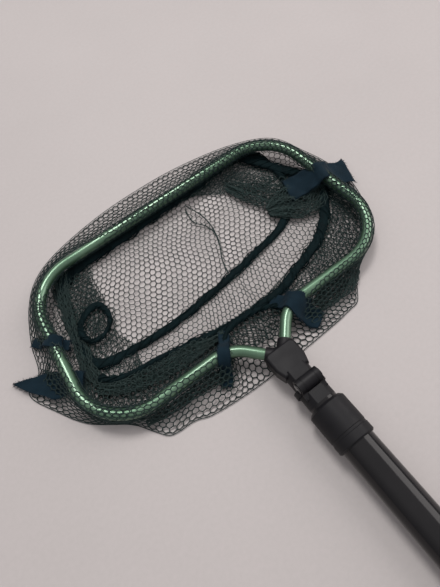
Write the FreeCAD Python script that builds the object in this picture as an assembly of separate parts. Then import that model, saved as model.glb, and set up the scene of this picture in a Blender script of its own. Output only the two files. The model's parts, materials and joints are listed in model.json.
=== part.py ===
import FreeCAD, Part
import math
import os

# Folding, telescopic landing net.  Millimetres, +Z up.
# The origin is the centre of the butt face; the handle's axis is +Y and points at the hoop.
# The net lies as it does on a table: handle level, hoop level, bag collapsed under the hoop.

V = FreeCAD.Vector
X_AXIS = V(1, 0, 0)
Y_AXIS = V(0, 1, 0)
Z_AXIS = V(0, 0, 1)

# ---- driving dimensions -------------------------------------------------------------
FLOOR_Z = -14.5          # table under the handle's axis

TUBE_R = 4.5             # hoop tube
TUBE_WALL = 1.0
HOOP_NEAR_HALF = 140.4   # half width of the hoop's side next to the handle
HOOP_FAR_HALF = 129.6    # half width of the far side
HOOP_DEPTH = 150.5       # near side to far side
HOOP_OFFSET = 19.7       # yoke prongs to near side
CORNER_NEAR_R = 44.3
CORNER_FAR_R = 42.9
LEG_BEND_R = 32.0        # bend from a leg into the near side
YOKE_BEND_R = 12.0       # bend inside the yoke
LEG_ANGLE = 42.0         # leg direction, degrees off the handle's axis
LEG_GAP_HALF = 10.0      # leg centre line at the prong ends
TAIL_GAP_HALF = 5.6      # leg centre line deep in the yoke
TAIL_LENGTH = 18.0

PIVOT_Y = 380.0          # butt face to folding pivot
PIVOT_Z = 9.6            # pivot above the handle's axis, so that the hoop folds over the handle
HEAD_Y = 417.0           # line of the yoke's prong ends
BARREL_R = 5.6           # hinge barrel and ears
BARREL_CLEAR_R = 6.0
BARREL_HALF = 5.0        # half width of the yoke's barrel
EAR_INNER = 5.7
EAR_OUTER = 9.4
SLEEVE_R = 3.0           # hollow pivot
SLEEVE_BORE_R = 1.95
SLEEVE_BACK_X = -9.2
BOSS_R = 3.85            # button head and cap head
BOSS_X = 10.3            # how far each head stands from the centre
BUTTON_WELL_X = 6.6      # floor of the well the button sinks into
BUTTON_SEAT_X = 8.65     # underside of the button's head at rest
BUTTON_STEM_X = -2.0
CAP_STEM = 2.5
SPRING_R = 1.05
SPRING_WIRE_R = 0.22
SPRING_PITCH = 1.3
SLIP = 0.05              # play between pieces that turn or slide
WEB_LENGTH = 10.0        # web from an ear back into the hinge base
WEB_TOP_Z = 8.0

BODY_R = 11.0            # hinge base and inner tube
FLANGE_R = 12.6          # raised rim on the front of the hinge base
FLANGE_LENGTH = 4.5
SPIGOT_LENGTH = 20.0
BASE_PIN_R = 1.5
BASE_PIN_BACK = 12.0     # shoulder of the hinge base to its cross pin

YOKE_HALF = 12.9         # yoke block half width
YOKE_BACK_HALF = 10.5    # where the block runs into its neck
YOKE_FRONT_Y = 413.5
YOKE_SHOULDER_Y = 399.0  # the block tapers back from here
YOKE_BACK_Y = 391.0
YOKE_HALF_THICK = 7.0
YOKE_CORNER = 2.5
YOKE_ROUND = 2.2
PRONG_LENGTH = 12.0
PRONG_ROOT_R = 6.6
PRONG_TIP_R = 5.6
PRONG_SET_BACK = 1.0     # collar end behind the prong line, along the leg
NECK_R = 10.2
NECK_TOP_Z = 8.0
NECK_BACK_Y = 380.3
SCREW_BACK = 13.0        # prong line to the two screws
SCREW_R = 1.25
SCREW_LENGTH = 9.5
SCREW_HEAD_R = 2.5
SCREW_HEAD_LENGTH = 1.6
SCREW_WELL = 2.0
SCREW_SLOT = 0.7
FIT = 0.03               # play between pieces that are fixed together
REACH = 40.0             # larger than any cross-section, for cutting tools

INNER_BORE_R = 9.85
INNER_Y = (64.0, 364.0)
OUTER_R = 12.5
OUTER_BORE_R = 11.6
OUTER_Y = (12.0, 345.0)
TAIL_BORE_R = 7.5
TAIL_PLUG = 14.0         # part of the tail bush inside the inner tube
TAIL_HEAD = 9.0          # part of it behind the inner tube
COLLAR_R = 14.5
COLLAR_Y = (329.8, 361.8)
COLLAR_BEVEL = 1.0
COLLAR_NOSE = 2.0
COLLAR_GROOVE = (7.0, 9.5)   # shallow groove round the collar, from its rear edge
COLLAR_GROOVE_DEPTH = 0.35
COLLAR_BORE_R = 13.4     # inside, round the bush and the collet
COLLAR_NOSE_R = 12.15    # inside, in front of the collet
BUSH_Y = (334.0, 345.0)  # threaded bush on the front of the outer tube
BUSH_ROOT_R = 12.95
BUSH_RING_R = 13.3
BUSH_PITCH = 2.0
COLLET_Y = (345.2, 357.5)
COLLET_R = 13.0
COLLET_NOSE_R = 12.0
COLLET_STRAIGHT = 4.0    # before it tapers
COLLET_SLIT = 1.8
STOP_Y = (322.0, 344.5)
GRIP_R = 14.5
GRIP_Y = (16.0, 122.0)
GRIP_BAYS = 7            # finger grooves lie between the bays
GRIP_GROOVE = 0.7
CAP_LIP = 1.5
CAP_STEPS_Y = (11.8, 15.8, 26.0)   # end of the tube's seat, of the rim, of the plug
CORD_HOLE_R = 3.0
CORD_HOLE_Y = 6.0

HEM_BORE_R = 4.75        # netting casing round the hoop
HEM_R = 5.5
HEM_START = 28.0         # bare leg from prong to casing, along the tube
CORD_R = 2.2             # bunched seams inside the bag
NET_SKIN = 3.0           # wall measured across, in plan; about 0.8 mm square to the slope

BAG_CENTRE_Y = 96.0      # all bag figures below are from the prong line
BAG_HALF_X = 161.0
BAG_HALF_Y = 109.0
BAG_POWER_FAR = 3.0
BAG_POWER_NEAR = 2.35
RIM_POWER = 4.6
BASE_THICK = 1.0
BAG_CLEARANCE = 0.4      # between hem and wall
OVAL_POINTS = 48

SEAM_CENTRE = (-7, 124)
SEAM_HALF = (113, 48)
SEAM_POWER = 3.3
SEAM_TURN = 3.0          # degrees
# the outer seam's course: along the near side, then round the right corner
SEAM_COURSE = [(-84, 54), (-24, 44), (40, 45), (92, 58), (121, 82), (133, 114), (124, 152)]

TAPE_RISE = 1.2          # tape above the casing
TAPE_THICK = 1.0
TAPE_SLOPES = (52, 30)   # how steeply the inner and the outer tail fall, degrees
# middle of each tape on the hoop, outward heading from +X, inner and outer tail, width
TAPES = {
    "tape_yoke_left": (-34, 18.7, -104.5, 12, 26, 8),
    "tape_yoke_right": (34, 18.7, -75.5, 12, 26, 13),
    "tape_side_left": (-134.0, 109, 175.9, 14, 16, 9),
    "tape_corner_left": (-136.6, 73, 175.9, 12, 29, 14),
    "tape_side_right": (134.6, 101, 4.1, 16, 26, 17),
}


# ---- helpers ------------------------------------------------------------------------
def tube_between(y0, y1, outer_r, inner_r):
    """Plain tube along the handle."""
    outer = Part.makeCylinder(outer_r, y1 - y0, V(0, y0, 0), Y_AXIS)
    inner = Part.makeCylinder(inner_r, y1 - y0, V(0, y0, 0), Y_AXIS)
    return outer.cut(inner)


def rod_x(x0, x1, radius):
    """Round rod on the folding pivot, from x0 to x1."""
    return Part.makeCylinder(radius, x1 - x0, V(x0, PIVOT_Y, PIVOT_Z), X_AXIS)


def box(x0, x1, y0, y1, z0, z1):
    return Part.makeBox(x1 - x0, y1 - y0, z1 - z0, V(x0, y0, z0))


def turned(profile):
    """Solid of revolution about the handle's axis from (radius, y) corners."""
    corners = [V(r, y, 0) for r, y in profile]
    face = Part.Face(Part.makePolygon(corners + corners[:1]))
    return face.revolve(V(0, 0, 0), Y_AXIS, 360)


def rounded_path(corners, radii):
    """Wire through the corners, each inner corner bent to its radius."""
    edges = []
    start = corners[0]
    for before, corner, after, radius in zip(corners, corners[1:], corners[2:], radii):
        into = (corner - before).normalize()
        out = (after - corner).normalize()
        half_turn = into.getAngle(out) / 2
        reach = radius * math.tan(half_turn)
        first = corner - into * reach
        last = corner + out * reach
        bulge = (out - into).normalize() * (radius / math.cos(half_turn) - radius)
        if (first - start).Length > 1e-3:
            edges.append(Part.makeLine(start, first))
        edges.append(Part.Arc(first, corner + bulge, last).toShape())
        start = last
    if (corners[-1] - start).Length > 1e-3:
        edges.append(Part.makeLine(start, corners[-1]))
    return Part.Wire(edges)


def rod_along(path, radius):
    """Round rod whose centre line is the wire."""
    edge = path.Edges[0]
    at = edge.firstVertex(True).Point
    heading = edge.tangentAt(edge.FirstParameter)
    if (edge.valueAt(edge.FirstParameter) - at).Length > 1e-3:
        heading = edge.tangentAt(edge.LastParameter) * -1
    circle = Part.Wire(Part.Circle(at, heading, radius).toShape())
    return path.makePipeShell([circle], True, False)


def mirror_corners(corners):
    """The same corners on the other side, walked back."""
    return [V(-c.x, c.y, c.z) for c in reversed(corners)]


# ---- hoop ---------------------------------------------------------------------------
def hoop_corners():
    """Corners of one half of the hoop after the yoke, and their bend radii."""
    leg = V(math.sin(math.radians(LEG_ANGLE)), math.cos(math.radians(LEG_ANGLE)), 0)
    prong = V(LEG_GAP_HALF, HEAD_Y, 0)
    near_y = HEAD_Y + HOOP_OFFSET
    tail = prong - leg * ((LEG_GAP_HALF - TAIL_GAP_HALF) / leg.x)
    bend = prong + leg * (HOOP_OFFSET / leg.y)
    corners = [
        tail - Y_AXIS * TAIL_LENGTH,
        tail,
        bend,
        V(HOOP_NEAR_HALF, near_y, 0),
        V(HOOP_FAR_HALF, near_y + HOOP_DEPTH, 0),
    ]
    return corners, [YOKE_BEND_R, LEG_BEND_R, CORNER_NEAR_R, CORNER_FAR_R]


def hoop_path():
    corners, radii = hoop_corners()
    return rounded_path(corners + mirror_corners(corners), radii + radii[::-1])


def casing_path():
    """The hoop's path without the bare legs next to the yoke."""
    corners, radii = hoop_corners()
    bend = corners[2]
    turn = math.radians(90 - LEG_ANGLE)
    leg = (bend - corners[1]).normalize()
    arc_start = bend - leg * (LEG_BEND_R * math.tan(turn / 2))
    bare_straight = (arc_start - V(LEG_GAP_HALF, HEAD_Y, 0)).Length
    slope = turn - (HEM_START - bare_straight) / LEG_BEND_R
    centre = V(bend.x + LEG_BEND_R * math.tan(turn / 2), bend.y - LEG_BEND_R, 0)
    start = centre + V(-math.sin(slope), math.cos(slope), 0) * LEG_BEND_R
    corner = V(centre.x - LEG_BEND_R * math.tan(slope / 2), bend.y, 0)
    half = [start, corner] + corners[3:]
    bends = [LEG_BEND_R - 1e-6] + radii[2:]
    return rounded_path(half + mirror_corners(half), bends + bends[::-1])


def screw_places():
    y = HEAD_Y - SCREW_BACK
    return [V(-TAIL_GAP_HALF, y, 0), V(TAIL_GAP_HALF, y, 0)]


def hoop_tube():
    path = hoop_path()
    tube = rod_along(path, TUBE_R).cut(rod_along(path, TUBE_R - TUBE_WALL))
    for place in screw_places():
        hole = Part.makeCylinder(SCREW_R + 2 * SLIP, REACH, place - Z_AXIS * REACH / 2, Z_AXIS)
        tube = tube.cut(hole)
    return tube


# ---- yoke ---------------------------------------------------------------------------
def yoke_block():
    """Flat block with a straight front edge, tapered back into its neck."""
    half = [
        V(YOKE_BACK_HALF, YOKE_BACK_Y, 0),
        V(YOKE_HALF, YOKE_SHOULDER_Y, 0),
        V(YOKE_HALF, YOKE_FRONT_Y - YOKE_CORNER, 0),
        V(YOKE_HALF - YOKE_CORNER, YOKE_FRONT_Y, 0),
    ]
    outline = half + mirror_corners(half)
    face = Part.Face(Part.makePolygon(outline + outline[:1]))
    face.translate(V(0, 0, -YOKE_HALF_THICK))
    block = face.extrude(V(0, 0, 2 * YOKE_HALF_THICK))
    rims = [e for e in block.Edges if abs(abs(e.CenterOfMass.z) - YOKE_HALF_THICK) < 1e-6]
    return block.makeFillet(YOKE_ROUND, rims)


def yoke_prong(side):
    """Tapered collar round one leg, ending just behind the prong line."""
    angle = math.radians(LEG_ANGLE)
    leg = V(side * math.sin(angle), math.cos(angle), 0)
    tip = V(side * LEG_GAP_HALF, HEAD_Y, 0) - leg * PRONG_SET_BACK
    return Part.makeCone(PRONG_ROOT_R, PRONG_TIP_R, PRONG_LENGTH, tip - leg * PRONG_LENGTH, leg)


def yoke_neck():
    """Round neck between block and hinge, flat on top so that it passes under the pivot."""
    length = YOKE_BACK_Y + PRONG_ROOT_R / 2 - NECK_BACK_Y
    neck = Part.makeCylinder(NECK_R, length, V(0, NECK_BACK_Y, 0), Y_AXIS)
    return neck.cut(box(-REACH, REACH, NECK_BACK_Y, HEAD_Y, NECK_TOP_Z, REACH))


def yoke_body():
    body = yoke_block()
    for side in (-1, 1):
        body = body.fuse(yoke_prong(side))
    body = body.fuse(yoke_neck())
    for side in (-1, 1):
        low, high = sorted((side * BARREL_HALF, side * REACH))
        body = body.cut(rod_x(low, high, BARREL_CLEAR_R))
    body = body.fuse(rod_x(-BARREL_HALF, BARREL_HALF, BARREL_R))
    body = body.cut(rod_x(-BARREL_HALF, BARREL_HALF, SLEEVE_R + SLIP))
    body = body.cut(rod_along(hoop_path(), TUBE_R + FIT))
    for place in screw_places():
        under = place - Z_AXIS * YOKE_HALF_THICK
        depth = SCREW_WELL + SCREW_LENGTH + 1.0
        body = body.cut(Part.makeCylinder(SCREW_R + SLIP, depth, under, Z_AXIS))
        body = body.cut(Part.makeCylinder(SCREW_HEAD_R + 0.2, SCREW_WELL, under, Z_AXIS))
    return body.removeSplitter()


def yoke_halves():
    body = yoke_body()
    y0, y1 = PIVOT_Y - REACH, HEAD_Y + REACH
    upper = body.common(box(-REACH, REACH, y0, y1, 0, REACH))
    lower = body.common(box(-REACH, REACH, y0, y1, -REACH, 0))
    return upper, lower


def yoke_screws():
    """Two screws from below, through the ends of the hoop tube."""
    screws = []
    for place in screw_places():
        seat = place - Z_AXIS * (YOKE_HALF_THICK - SCREW_WELL)
        underside = seat - Z_AXIS * SCREW_HEAD_LENGTH
        head = Part.makeCylinder(SCREW_HEAD_R, SCREW_HEAD_LENGTH, underside, Z_AXIS)
        shank = Part.makeCylinder(SCREW_R, SCREW_LENGTH, seat, Z_AXIS)
        x, y, z = place.x, place.y, underside.z
        slot = box(x - REACH, x + REACH, y - SCREW_SLOT / 2, y + SCREW_SLOT / 2, z, z + SCREW_SLOT)
        screws.append(head.fuse(shank).cut(slot))
    return Part.makeCompound(screws)


# ---- folding hinge ------------------------------------------------------------------
def hinge_ear(x0, x1):
    """One ear: a round lug on the pivot, with a web down into the base."""
    back = PIVOT_Y - WEB_LENGTH
    web = Part.makePolygon([
        V(x0, PIVOT_Y, 0),
        V(x0, back, 0),
        V(x0, back, WEB_TOP_Z),
        V(x0, PIVOT_Y - BARREL_R, PIVOT_Z),
        V(x0, PIVOT_Y, PIVOT_Z),
        V(x0, PIVOT_Y, 0),
    ])
    return rod_x(x0, x1, BARREL_R).fuse(Part.Face(web).extrude(V(x1 - x0, 0, 0)))


def base_pin_shape(radius, half_length):
    return Part.makeCylinder(
        radius, 2 * half_length, V(-half_length, INNER_Y[1] - BASE_PIN_BACK, 0), X_AXIS)


def hinge_base():
    """Fork with a rim at its front and a spigot that plugs the inner tube."""
    shoulder_y = INNER_Y[1]
    spigot_r = INNER_BORE_R - SLIP
    body = Part.makeCylinder(BODY_R, PIVOT_Y - shoulder_y, V(0, shoulder_y, 0), Y_AXIS)
    body = body.fuse(Part.makeCylinder(FLANGE_R, FLANGE_LENGTH, V(0, PIVOT_Y - FLANGE_LENGTH, 0), Y_AXIS))
    body = body.cut(box(-REACH, REACH, shoulder_y, PIVOT_Y, PIVOT_Z, REACH))
    body = body.fuse(Part.makeCylinder(spigot_r, SPIGOT_LENGTH, V(0, shoulder_y - SPIGOT_LENGTH, 0), Y_AXIS))
    for low, high in ((-EAR_OUTER, -EAR_INNER), (EAR_INNER, EAR_OUTER)):
        body = body.fuse(hinge_ear(low, high))
    for low, high in ((-REACH, -EAR_OUTER), (EAR_OUTER, REACH)):
        body = body.cut(rod_x(low, high, BOSS_R + 2 * SLIP))
    body = body.cut(rod_x(-EAR_INNER, EAR_INNER, BARREL_CLEAR_R))
    body = body.cut(rod_x(-EAR_OUTER, EAR_OUTER, SLEEVE_R + SLIP / 5))
    body = body.cut(rod_x(BUTTON_WELL_X, EAR_OUTER, BOSS_R + 2 * SLIP))
    body = body.cut(base_pin_shape(BASE_PIN_R, BODY_R + 1))
    return body.removeSplitter()


def base_pin():
    """Cross pin that holds the spigot in the inner tube."""
    return base_pin_shape(BASE_PIN_R - SLIP / 5, BODY_R - 3 * SLIP)


def hinge_sleeve():
    """Hollow pivot the yoke's barrel turns on."""
    outside = rod_x(SLEEVE_BACK_X, BUTTON_WELL_X, SLEEVE_R)
    return outside.cut(rod_x(SLEEVE_BACK_X, BUTTON_WELL_X, SLEEVE_BORE_R))


def domed_head(x_seat, x_top, radius):
    """Flat round head with a rounded rim."""
    low, high = sorted((x_seat, x_top))
    head = rod_x(low, high, radius)
    rim = [e for e in head.Edges if abs(e.CenterOfMass.x - x_top) < 1e-6]
    return head.makeFillet(0.7, rim)


def hinge_button():
    """Push button: head in the right ear, stem inside the hollow pivot."""
    stem = rod_x(BUTTON_STEM_X, BUTTON_SEAT_X, SLEEVE_BORE_R - SLIP)
    return domed_head(BUTTON_SEAT_X, BOSS_X, BOSS_R).fuse(stem)


def hinge_cap():
    """Cap that closes the hollow pivot on the left ear."""
    stem = rod_x(-EAR_OUTER, SLEEVE_BACK_X + CAP_STEM, SLEEVE_BORE_R - FIT)
    return domed_head(-EAR_OUTER, -BOSS_X, BOSS_R).fuse(stem)


def hinge_spring():
    """Coil that pushes the button out."""
    start_x = SLEEVE_BACK_X + CAP_STEM + 2 * SPRING_WIRE_R
    length = BUTTON_STEM_X - 2 * SPRING_WIRE_R - start_x
    helix = Part.makeHelix(SPRING_R, length, SPRING_PITCH)
    helix.rotate(V(0, 0, 0), Y_AXIS, 90)
    helix.translate(V(start_x, PIVOT_Y, PIVOT_Z))
    first = helix.Edges[0]
    at = first.valueAt(first.FirstParameter)
    section = Part.Circle(at, first.tangentAt(first.FirstParameter), SPRING_WIRE_R)
    return Part.Wire(helix.Edges).makePipeShell([Part.Wire(section.toShape())], True, True)


def hinge_washers():
    """Two thin washers beside the barrel."""
    washers = []
    low, high = BARREL_HALF + SLIP, EAR_INNER - SLIP
    for x0, x1 in ((-high, -low), (low, high)):
        washers.append(rod_x(x0, x1, BARREL_R - 0.2).cut(rod_x(x0, x1, SLEEVE_R + SLIP)))
    return Part.makeCompound(washers)


# ---- handle -------------------------------------------------------------------------
def inner_tube():
    tube = tube_between(INNER_Y[0], INNER_Y[1], BODY_R, INNER_BORE_R)
    return tube.cut(base_pin_shape(1.5, BODY_R + 1))


def tail_bush():
    """Bush on the tail of the inner tube: it runs in the outer tube and stops at the stop ring."""
    y = INNER_Y[0]
    plug = tube_between(y, y + TAIL_PLUG, INNER_BORE_R - SLIP, TAIL_BORE_R)
    head = tube_between(y - TAIL_HEAD, y, OUTER_BORE_R - 2 * SLIP, TAIL_BORE_R)
    return plug.fuse(head).removeSplitter()


def outer_tube():
    return tube_between(OUTER_Y[0], OUTER_Y[1], OUTER_R, OUTER_BORE_R)


def stop_ring():
    """Bearing in the mouth of the outer tube that keeps the tail bush in."""
    return tube_between(STOP_Y[0], STOP_Y[1], OUTER_BORE_R - FIT, BODY_R + 2 * SLIP)


def lock_bush():
    """Bush fixed round the front of the outer tube, with thread-like rings for the collar."""
    y0, y1 = BUSH_Y
    rings = int((y1 - y0 - 1) / BUSH_PITCH)
    profile = [(OUTER_R + FIT, y0), (BUSH_ROOT_R, y0)]
    for k in range(rings):
        y = y0 + 1 + k * BUSH_PITCH
        profile.append((BUSH_ROOT_R, y))
        profile.append((BUSH_RING_R, y + 0.2 * BUSH_PITCH))
        profile.append((BUSH_RING_R, y + 0.4 * BUSH_PITCH))
        profile.append((BUSH_ROOT_R, y + 0.6 * BUSH_PITCH))
    profile += [(BUSH_ROOT_R, y1), (OUTER_R + FIT, y1)]
    return turned(profile)


def lock_collet():
    """Split tapered ring that grips the inner tube when the collar is screwed up."""
    y0, y1 = COLLET_Y
    bore_r = BODY_R + 2 * SLIP
    ring = turned([
        (bore_r, y0),
        (COLLET_R, y0),
        (COLLET_R, y0 + COLLET_STRAIGHT),
        (COLLET_NOSE_R, y1),
        (bore_r, y1),
    ])
    return ring.cut(box(-COLLET_SLIT / 2, COLLET_SLIT / 2, y0 - 1, y1 + 1, BODY_R / 2, REACH))


def lock_collar():
    """Twist collar over the bush and the collet: the thick front ferrule of the handle."""
    y0, y1 = COLLAR_Y
    groove_r = COLLAR_R - COLLAR_GROOVE_DEPTH
    groove_y0, groove_y1 = (y0 + y for y in COLLAR_GROOVE)
    tube_r = OUTER_R + 3 * SLIP
    outside = [
        (tube_r, y0),
        (COLLAR_R - COLLAR_BEVEL, y0),
        (COLLAR_R, y0 + COLLAR_BEVEL),
        (COLLAR_R, groove_y0),
        (groove_r, groove_y0 + COLLAR_GROOVE_DEPTH),
        (groove_r, groove_y1 - COLLAR_GROOVE_DEPTH),
        (COLLAR_R, groove_y1),
        (COLLAR_R, y1 - COLLAR_NOSE),
        (COLLAR_R - COLLAR_NOSE, y1),
    ]
    collet_y0, collet_y1 = COLLET_Y
    inside = [
        (BODY_R + 3 * SLIP, y1),
        (BODY_R + 3 * SLIP, collet_y1 + 6 * SLIP),
        (COLLAR_NOSE_R, collet_y1 + 6 * SLIP),
        (COLLAR_BORE_R, collet_y0 + COLLET_STRAIGHT),
        (COLLAR_BORE_R, BUSH_Y[0] - 6 * SLIP),
        (tube_r, BUSH_Y[0] - 6 * SLIP),
    ]
    return turned(outside + inside)


def grip():
    """Soft sleeve on the rear of the outer tube, with shallow finger grooves."""
    y0, y1 = GRIP_Y
    bay = (y1 - y0) / GRIP_BAYS
    half_groove = 0.2 * bay
    floor_r = GRIP_R - GRIP_GROOVE
    profile = [(OUTER_R + FIT, y0), (GRIP_R, y0)]
    for k in range(1, GRIP_BAYS):
        y = y0 + k * bay
        profile.append((GRIP_R, y - half_groove))
        profile.append((floor_r, y - half_groove / 2))
        profile.append((floor_r, y + half_groove / 2))
        profile.append((GRIP_R, y + half_groove))
    profile += [(GRIP_R, y1 - half_groove), (GRIP_R - 2 * GRIP_GROOVE, y1), (OUTER_R + FIT, y1)]
    return turned(profile)


def end_cap():
    """Butt cap: closes the handle, plugs the outer tube, and has a cross hole for a wrist cord."""
    seat_y, rim_y, plug_y = CAP_STEPS_Y
    outside = turned([
        (0, 0),
        (GRIP_R - CAP_LIP, 0),
        (GRIP_R, CAP_LIP),
        (GRIP_R, rim_y),
        (OUTER_R + FIT, rim_y),
        (OUTER_R + FIT, seat_y),
        (OUTER_BORE_R - SLIP, seat_y),
        (OUTER_BORE_R - SLIP, plug_y),
        (0, plug_y),
    ])
    return outside.cut(Part.makeCylinder(CORD_HOLE_R, REACH, V(-REACH / 2, CORD_HOLE_Y, 0), X_AXIS))


# ---- bag ----------------------------------------------------------------------------
def oval(centre, half_x, half_y, power_far, power_near, taper=0.0):
    """Closed smooth squared oval round the centre, with its own squareness far and near."""
    points = []
    for k in range(OVAL_POINTS):
        angle = 2 * math.pi * k / OVAL_POINTS
        c, s = math.cos(angle), math.sin(angle)
        power = power_far if s > 0 else power_near
        reach = (abs(c / half_x) ** power + abs(s / half_y) ** power) ** (-1 / power)
        points.append(centre + V(reach * c * (1 - taper * reach * s / half_y), reach * s, 0))
    curve = Part.BSplineCurve()
    curve.interpolate(points, PeriodicFlag=True)
    return curve


def bag_outline(inset, z):
    """Edge of the bag where it lies spread on the table."""
    centre = V(0, HEAD_Y + BAG_CENTRE_Y, z)
    curve = oval(centre, BAG_HALF_X - inset, BAG_HALF_Y - inset, BAG_POWER_FAR, BAG_POWER_NEAR)
    return Part.Wire(curve.toShape())


def rim_outline(inset, z):
    """Outline just under the hoop tube, which the bag hangs from."""
    half_x = (HOOP_NEAR_HALF + HOOP_FAR_HALF) / 2
    taper = (HOOP_NEAR_HALF - HOOP_FAR_HALF) / (HOOP_NEAR_HALF + HOOP_FAR_HALF)
    centre = V(0, HEAD_Y + BAG_CENTRE_Y, z)
    curve = oval(centre, half_x - inset, HOOP_DEPTH / 2 - inset, RIM_POWER, RIM_POWER, taper)
    return Part.Wire(curve.toShape())


def net_wall():
    """Side of the collapsed bag: it leaves the hoop and spills outwards to the table."""
    top, bottom = -HEM_R - BAG_CLEARANCE, FLOOR_Z + BASE_THICK + SLIP
    outer = Part.makeLoft([bag_outline(0, bottom), rim_outline(0, top)], True, True)
    inner = Part.makeLoft([bag_outline(NET_SKIN, bottom), rim_outline(NET_SKIN, top)], True, True)
    return outer.cut(inner)


def net_base():
    """Bottom of the bag, lying flat on the table."""
    return Part.Face(bag_outline(0, FLOOR_Z)).extrude(V(0, 0, BASE_THICK))


def net_hem():
    """Casing of netting round the hoop tube."""
    path = casing_path()
    return rod_along(path, HEM_R).cut(rod_along(path, HEM_BORE_R))


def cord_z():
    return FLOOR_Z + BASE_THICK + CORD_R + 2 * SLIP


def cord_on(curve, stretches=1):
    """Round cord along the curve, made in a number of stretches: a closed curve needs at least two."""
    first, last = curve.FirstParameter, curve.LastParameter
    ends = [first + (last - first) * k / stretches for k in range(stretches + 1)]
    cords = []
    for low, high in zip(ends, ends[1:]):
        section = Part.Circle(curve.value(low), curve.tangent(low)[0], CORD_R)
        path = Part.Wire(curve.toShape(low, high))
        cords.append(path.makePipeShell([Part.Wire(section.toShape())], True, False))
    return cords[0].multiFuse(cords[1:]) if stretches > 1 else cords[0]


def seam_inner():
    """Closed bunched seam round the bottom panel."""
    centre = V(SEAM_CENTRE[0], HEAD_Y + SEAM_CENTRE[1], cord_z())
    ring = cord_on(oval(centre, SEAM_HALF[0], SEAM_HALF[1], SEAM_POWER, SEAM_POWER), stretches=2)
    ring.rotate(centre, Z_AXIS, SEAM_TURN)
    return ring


def seam_outer():
    """Open bunched seam nearer the handle, where the side panel is gathered."""
    curve = Part.BSplineCurve()
    curve.interpolate([V(x, HEAD_Y + y, cord_z()) for x, y in SEAM_COURSE])
    return cord_on(curve)


def tape_arc(low_r, high_r, width):
    """Part of the tape that bends over the hoop, between its two slopes."""
    ring = Part.makeCylinder(high_r, width, V(0, 0, 0), Y_AXIS)
    ring = ring.cut(Part.makeCylinder(low_r, width, V(0, 0, 0), Y_AXIS))
    inner, outer = (math.radians(slope) for slope in TAPE_SLOPES)
    rays = [
        V(0, 0, 0),
        V(-math.sin(inner), 0, math.cos(inner)) * REACH,
        V(0, 0, REACH),
        V(math.sin(outer), 0, math.cos(outer)) * REACH,
    ]
    wedge = Part.Face(Part.makePolygon(rays + rays[:1])).extrude(V(0, width, 0))
    return ring.common(wedge)


def tape(x, y, heading, inner_length, outer_length, width):
    """Binding tape draped over the hoop at (x, y); heading is the outward way, in degrees from +X."""
    low_r = HEM_R + TAPE_RISE
    strap = tape_arc(low_r, low_r + TAPE_THICK, width)
    for slope, length, side in zip(TAPE_SLOPES, (inner_length, outer_length), (-1, 1)):
        start_x = 0 if side > 0 else -length
        tail = Part.makeBox(length, width, TAPE_THICK, V(start_x, 0, low_r))
        tail.rotate(V(0, 0, 0), Y_AXIS, side * slope)
        strap = strap.fuse(tail)
    strap.translate(V(0, -width / 2, 0))
    strap.rotate(V(0, 0, 0), Z_AXIS, heading)
    strap.translate(V(x, HEAD_Y + y, 0))
    return strap.removeSplitter()


# ---- write every piece --------------------------------------------------------------
def main():
    upper, lower = yoke_halves()
    parts = {
        "hoop_tube": hoop_tube(),
        "yoke_top": upper,
        "yoke_bottom": lower,
        "yoke_screws": yoke_screws(),
        "hinge_base": hinge_base(),
        "base_pin": base_pin(),
        "hinge_sleeve": hinge_sleeve(),
        "hinge_button": hinge_button(),
        "hinge_cap": hinge_cap(),
        "hinge_spring": hinge_spring(),
        "hinge_washers": hinge_washers(),
        "inner_tube": inner_tube(),
        "tail_bush": tail_bush(),
        "outer_tube": outer_tube(),
        "stop_ring": stop_ring(),
        "lock_bush": lock_bush(),
        "lock_collet": lock_collet(),
        "lock_collar": lock_collar(),
        "grip": grip(),
        "end_cap": end_cap(),
        "net_wall": net_wall(),
        "net_base": net_base(),
        "net_hem": net_hem(),
        "seam_inner": seam_inner(),
        "seam_outer": seam_outer(),
    }
    for name, place in TAPES.items():
        parts[name] = tape(*place)
    os.makedirs("parts", exist_ok=True)
    for name, shape in parts.items():
        shape.exportStep("parts/" + name + ".step")


main()
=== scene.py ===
import json
import math

import bpy
import numpy as np
from mathutils import Matrix, Vector


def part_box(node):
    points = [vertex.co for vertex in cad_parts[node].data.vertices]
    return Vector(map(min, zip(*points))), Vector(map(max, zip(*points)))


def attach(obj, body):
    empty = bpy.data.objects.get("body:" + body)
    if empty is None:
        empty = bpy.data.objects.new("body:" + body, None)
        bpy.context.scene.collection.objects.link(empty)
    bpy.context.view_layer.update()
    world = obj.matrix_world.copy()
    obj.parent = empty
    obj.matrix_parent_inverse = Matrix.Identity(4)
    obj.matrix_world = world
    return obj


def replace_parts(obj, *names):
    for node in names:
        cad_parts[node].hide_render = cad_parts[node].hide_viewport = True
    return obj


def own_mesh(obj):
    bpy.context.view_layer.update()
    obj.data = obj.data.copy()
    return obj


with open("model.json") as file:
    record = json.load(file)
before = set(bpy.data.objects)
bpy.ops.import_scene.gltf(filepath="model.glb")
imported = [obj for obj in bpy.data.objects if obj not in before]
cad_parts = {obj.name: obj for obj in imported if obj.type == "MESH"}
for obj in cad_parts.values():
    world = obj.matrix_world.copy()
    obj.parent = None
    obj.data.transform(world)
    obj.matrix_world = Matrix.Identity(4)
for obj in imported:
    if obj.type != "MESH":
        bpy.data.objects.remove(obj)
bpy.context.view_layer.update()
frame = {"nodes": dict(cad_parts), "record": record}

MM = 0.001
scene = bpy.context.scene

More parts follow.
